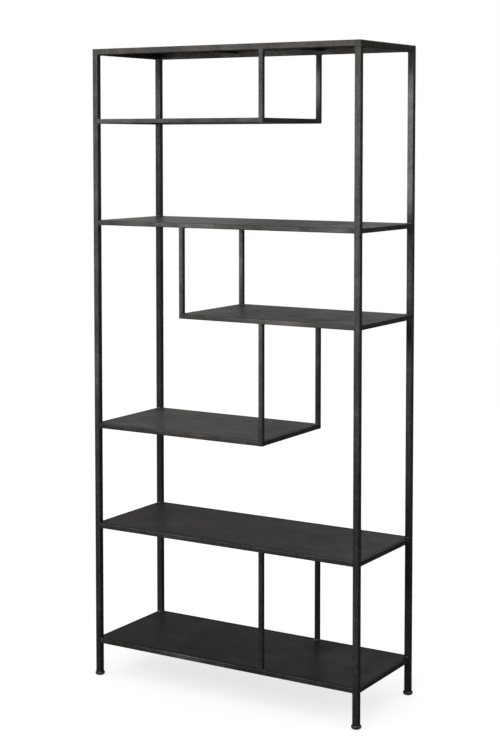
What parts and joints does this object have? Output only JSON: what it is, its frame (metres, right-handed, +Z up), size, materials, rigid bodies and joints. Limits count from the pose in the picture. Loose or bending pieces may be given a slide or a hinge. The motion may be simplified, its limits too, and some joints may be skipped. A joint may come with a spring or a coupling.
{
  "type": "bookcase",
  "caption": "Tall open steel bookcase on corner posts, with flush sheet shelves, short shelves hung on rods and screw-in levelling feet.",
  "frame": {"origin": "centre of the footprint, on the floor", "axes": "+Z up, +X to the right seen from the front, front towards -Y"},
  "size_m": [0.911, 0.356, 1.9],
  "materials": {
    "frame_steel": "blackened and waxed square tube, satin, cloudy",
    "deck_steel": "blackened and waxed sheet, satin, cloudy",
    "foot_plastic": "moulded, satin",
    "stud_zinc": "zinc plated"
  },
  "bodies": {
    "frame": {"post_front_left": "frame_steel", "post_front_right": "frame_steel", "post_back_left": "frame_steel", "post_back_right": "frame_steel", "top_rail_front": "frame_steel", "top_rail_back": "frame_steel", "top_rail_left": "frame_steel", "top_rail_right": "frame_steel", "top_stiffener_left": "frame_steel", "top_stiffener_right": "frame_steel", "upper_left_shelf_rail_front": "frame_steel", "upper_left_shelf_rail_back": "frame_steel", "upper_left_shelf_rail_left": "frame_steel", "upper_left_shelf_rail_right": "frame_steel", "upper_full_shelf_rail_front": "frame_steel", "upper_full_shelf_rail_back": "frame_steel", "upper_full_shelf_rail_left": "frame_steel", "upper_full_shelf_rail_right": "frame_steel", "middle_right_shelf_rail_front": "frame_steel", "middle_right_shelf_rail_back": "frame_steel", "middle_right_shelf_rail_left": "frame_steel", "middle_right_shelf_rail_right": "frame_steel", "middle_left_shelf_rail_front": "frame_steel", "middle_left_shelf_rail_back": "frame_steel", "middle_left_shelf_rail_left": "frame_steel", "middle_left_shelf_rail_right": "frame_steel", "lower_full_shelf_rail_front": "frame_steel", "lower_full_shelf_rail_back": "frame_steel", "lower_full_shelf_rail_left": "frame_steel", "lower_full_shelf_rail_right": "frame_steel", "bottom_shelf_rail_front": "frame_steel", "bottom_shelf_rail_back": "frame_steel", "bottom_shelf_rail_left": "frame_steel", "bottom_shelf_rail_right": "frame_steel", "upper_left_hanger_front": "frame_steel", "upper_left_hanger_back": "frame_steel", "middle_right_hanger_front": "frame_steel", "middle_right_hanger_back": "frame_steel", "middle_left_hanger_front": "frame_steel", "middle_left_hanger_back": "frame_steel", "bottom_divider_front": "frame_steel", "bottom_divider_back": "frame_steel", "top_deck": "deck_steel", "upper_left_shelf_deck": "deck_steel", "upper_full_shelf_deck": "deck_steel", "middle_right_shelf_deck": "deck_steel", "middle_left_shelf_deck": "deck_steel", "lower_full_shelf_deck": "deck_steel", "bottom_shelf_deck": "deck_steel"},
    "pad_front_left": {"foot_pad_front_left": "foot_plastic"},
    "stud_front_left": {"foot_stud_front_left": "stud_zinc"},
    "pad_front_right": {"foot_pad_front_right": "foot_plastic"},
    "stud_front_right": {"foot_stud_front_right": "stud_zinc"},
    "pad_back_left": {"foot_pad_back_left": "foot_plastic"},
    "stud_back_left": {"foot_stud_back_left": "stud_zinc"},
    "pad_back_right": {"foot_pad_back_right": "foot_plastic"},
    "stud_back_right": {"foot_stud_back_right": "stud_zinc"}
  },
  "joints": [
    {"name": "pad_front_left_lower", "type": "slide", "parent": "frame", "child": "pad_front_left", "axis": [0, 0, -1], "range_m": [0, 0.01]},
    {"name": "stud_front_left_turn", "type": "hinge", "parent": "pad_front_left", "child": "stud_front_left", "pos_m": [-0.441, -0.1635, 0], "axis": [0, 0, -1], "range_deg": [0, 2880]},
    {"name": "pad_front_right_lower", "type": "slide", "parent": "frame", "child": "pad_front_right", "axis": [0, 0, -1], "range_m": [0, 0.01]},
    {"name": "stud_front_right_turn", "type": "hinge", "parent": "pad_front_right", "child": "stud_front_right", "pos_m": [0.441, -0.1635, 0], "axis": [0, 0, -1], "range_deg": [0, 2880]},
    {"name": "pad_back_left_lower", "type": "slide", "parent": "frame", "child": "pad_back_left", "axis": [0, 0, -1], "range_m": [0, 0.01]},
    {"name": "stud_back_left_turn", "type": "hinge", "parent": "pad_back_left", "child": "stud_back_left", "pos_m": [-0.441, 0.1635, 0], "axis": [0, 0, -1], "range_deg": [0, 2880]},
    {"name": "pad_back_right_lower", "type": "slide", "parent": "frame", "child": "pad_back_right", "axis": [0, 0, -1], "range_m": [0, 0.01]},
    {"name": "stud_back_right_turn", "type": "hinge", "parent": "pad_back_right", "child": "stud_back_right", "pos_m": [0.441, 0.1635, 0], "axis": [0, 0, -1], "range_deg": [0, 2880]}
  ],
  "couplings": [
    {"joint": "stud_front_left_turn", "follows": "pad_front_left_lower", "rad_per_m": 5026.5},
    {"joint": "stud_front_right_turn", "follows": "pad_front_right_lower", "rad_per_m": 5026.5},
    {"joint": "stud_back_left_turn", "follows": "pad_back_left_lower", "rad_per_m": 5026.5},
    {"joint": "stud_back_right_turn", "follows": "pad_back_right_lower", "rad_per_m": 5026.5}
  ]
}
